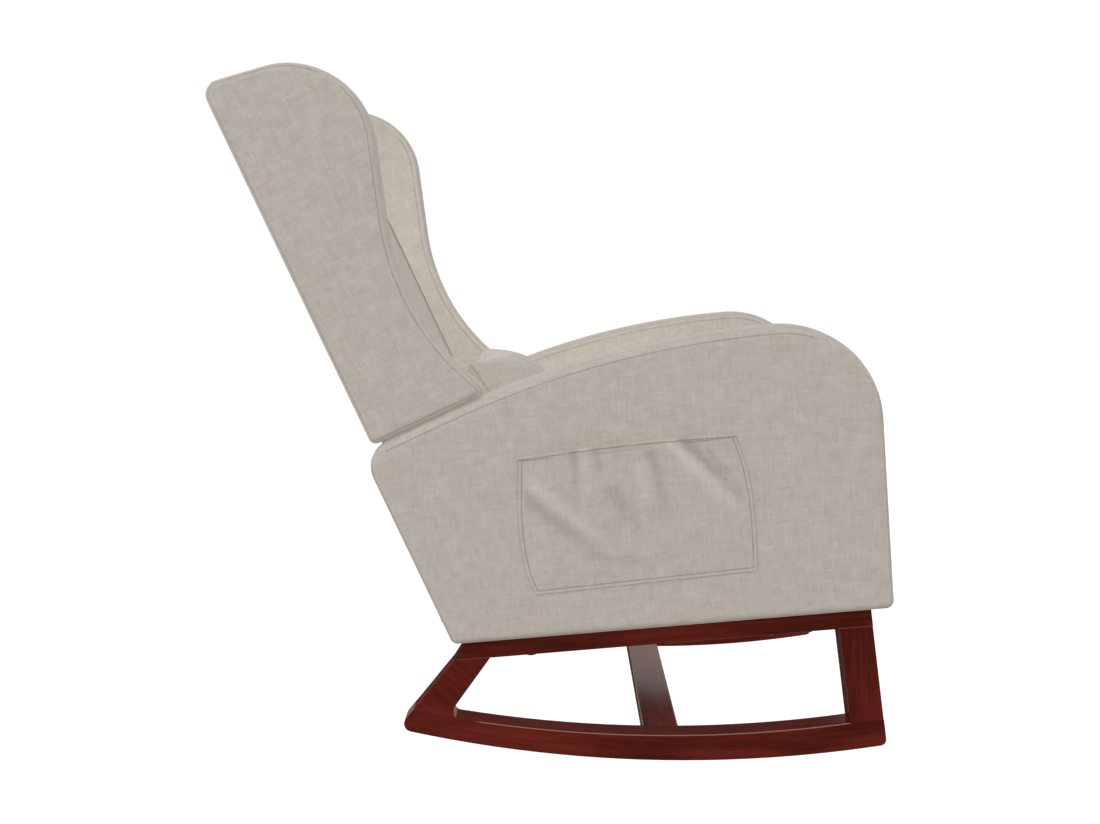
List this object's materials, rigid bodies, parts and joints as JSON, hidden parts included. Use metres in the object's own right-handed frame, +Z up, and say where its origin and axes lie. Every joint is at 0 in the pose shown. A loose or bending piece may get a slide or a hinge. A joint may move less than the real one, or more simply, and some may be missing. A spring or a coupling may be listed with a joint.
{
  "type": "wingback rocking chair",
  "caption": "High wingback upholstered rocking chair: wood bow rockers, closed arms with side pockets, raked winged back, box seat cushion and loose lumbar pillow.",
  "frame": {"origin": "bottom centre of the whole chair's box: on the floor, at the middle of its width and depth", "axes": "+Z up from the floor, -Y towards the front of the seat, +X towards the sitter's left"},
  "size_m": [0.744, 0.97, 0.9854],
  "materials": {
    "base_wood": "red-brown stain under satin lacquer",
    "dowel_wood": "plain turned hardwood",
    "frame_wood": "unfinished hardwood and plywood",
    "steel": "zinc plated",
    "spring_steel": "black coated spring wire",
    "clip_plastic": "moulded black plastic",
    "webbing": "woven elastic strap",
    "deck_felt": "needled felt",
    "under_cloth": "thin black non-woven cloth",
    "upholstery": "slubbed linen-look weave, grey beige"
  },
  "bodies": {
    "chair": {"right_runner": "base_wood", "left_runner": "base_wood", "right_base_rail": "base_wood", "left_base_rail": "base_wood", "right_front_post": "base_wood", "left_front_post": "base_wood", "right_rear_post": "base_wood", "left_rear_post": "base_wood", "runner_stretcher": "base_wood", "base_dowels": "dowel_wood", "stretcher_dowels": "dowel_wood", "right_seat_rail": "frame_wood", "left_seat_rail": "frame_wood", "front_seat_rail": "frame_wood", "rear_seat_rail": "frame_wood", "seat_back_board": "frame_wood", "seat_corner_blocks": "frame_wood", "right_arm_panel": "frame_wood", "left_arm_panel": "frame_wood", "right_back_post": "frame_wood", "left_back_post": "frame_wood", "back_bottom_rail": "frame_wood", "back_middle_rail": "frame_wood", "back_top_rail": "frame_wood", "right_wing_panel": "frame_wood", "left_wing_panel": "frame_wood", "base_bolts": "steel", "base_washers": "steel", "threaded_inserts": "steel", "back_receivers": "steel", "back_tongues": "steel", "seat_springs": "spring_steel", "spring_clips": "clip_plastic", "back_webbing": "webbing", "seat_deck_pad": "deck_felt", "dust_cover": "under_cloth", "right_arm_padding": "upholstery", "left_arm_padding": "upholstery", "seat_rear_cover": "upholstery", "front_apron": "upholstery", "seat_cushion": "upholstery", "back_outer_cover": "upholstery", "backrest_pad": "upholstery", "right_wing_padding": "upholstery", "left_wing_padding": "upholstery", "right_side_pocket": "upholstery", "left_side_pocket": "upholstery"},
    "pillow": {"lumbar_pillow": "upholstery"}
  },
  "joints": [
    {"name": "pillow_lift_off", "type": "slide", "parent": "chair", "child": "pillow", "axis": [0, 0, 1], "range_m": [0, 0.65]}
  ]
}
